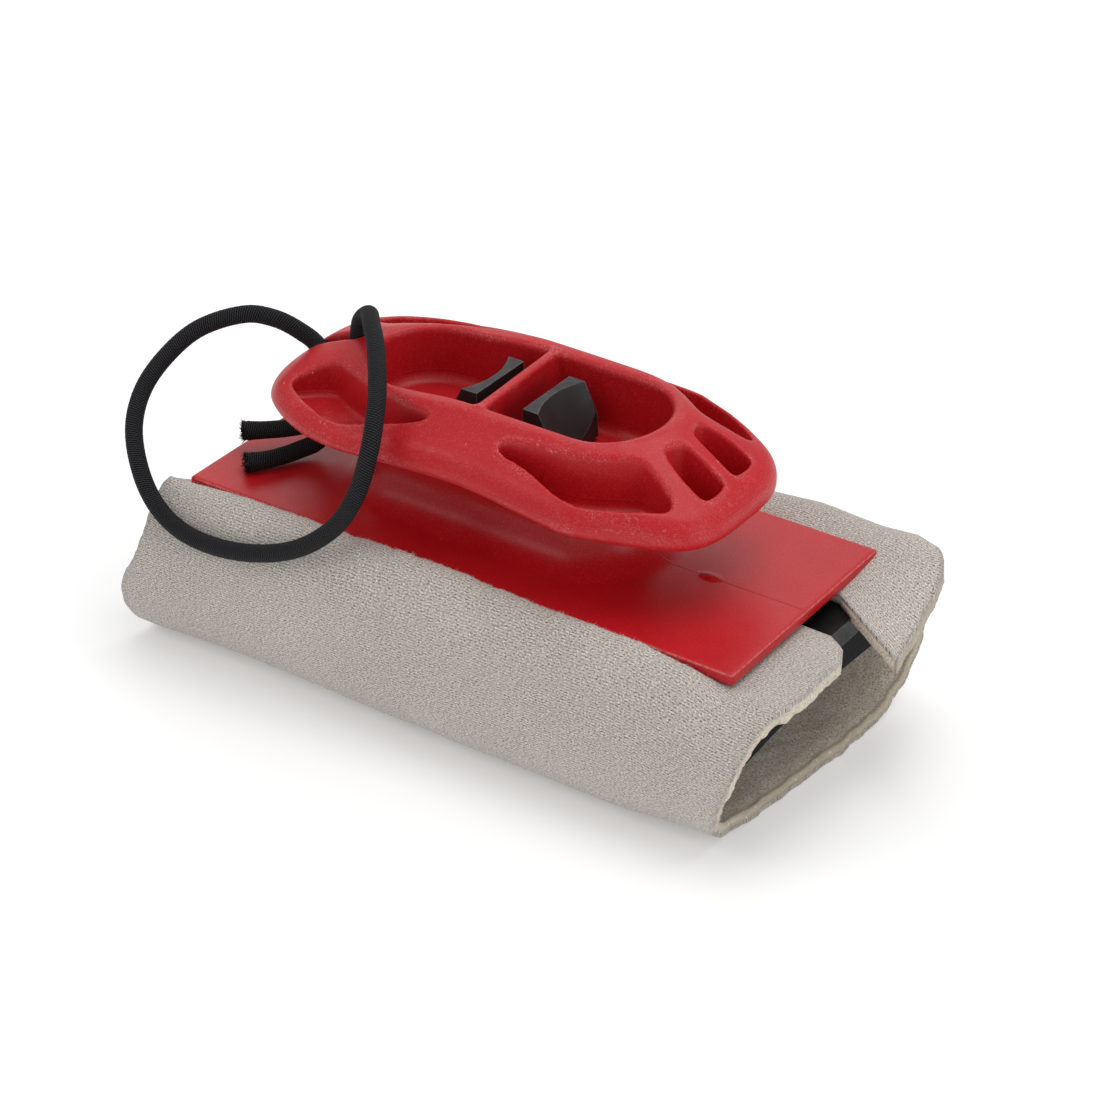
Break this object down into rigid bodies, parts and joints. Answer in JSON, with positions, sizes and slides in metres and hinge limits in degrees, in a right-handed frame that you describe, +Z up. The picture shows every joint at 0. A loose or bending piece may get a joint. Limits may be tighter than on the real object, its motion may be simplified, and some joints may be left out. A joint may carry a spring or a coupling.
{
  "type": "tourniquet",
  "caption": "Wide-cuff limb tourniquet: foam-backed knit wrap clamped between a red cleat-handle plate and a black snap-in clip with pinch release tabs, and an elastic cord loop.",
  "frame": {"origin": "on the rest face under the wrap, below the middle of the handle plate", "axes": "+X along the plate and the limb, towards the blunt tail of the cleat; +Y to the back of the plate; +Z up, out of the cleat's top"},
  "size_m": [0.1788, 0.084, 0.0802],
  "materials": {
    "red_moulding": "satin moulded, fine bloom on the rims",
    "black_plastic": "satin moulded",
    "black_pad": "matt",
    "hook_tape": "woven hook tape",
    "knit_face": "fine brushed loop knit",
    "foam_liner": "open-cell foam with a sparkle",
    "elastic_cord": "braided sheath over rubber strands"
  },
  "bodies": {
    "tourniquet": {"handle_body": "red_moulding", "clip_plate": "black_plastic", "pressure_pad": "black_pad", "hook_strip_front": "hook_tape", "hook_strip_back": "hook_tape", "wrap_face": "knit_face", "wrap_foam": "foam_liner", "cord_loop": "elastic_cord", "cord_knot": "elastic_cord", "cord_tail_upper": "elastic_cord", "cord_tail_lower": "elastic_cord"},
    "tab_left": {"release_tab_left": "black_plastic"},
    "tab_right": {"release_tab_right": "black_plastic"}
  },
  "joints": [
    {"name": "pinch_left", "type": "hinge", "parent": "tourniquet", "child": "tab_left", "pos_m": [-0.0082, 0, 0.0318], "axis": [0, 1, 0], "range_deg": [0, 4.6], "stiffness_Nm_per_rad": 1},
    {"name": "pinch_right", "type": "hinge", "parent": "tourniquet", "child": "tab_right", "pos_m": [0.006, 0, 0.0318], "axis": [0, -1, 0], "range_deg": [0, 8.3], "stiffness_Nm_per_rad": 1}
  ]
}
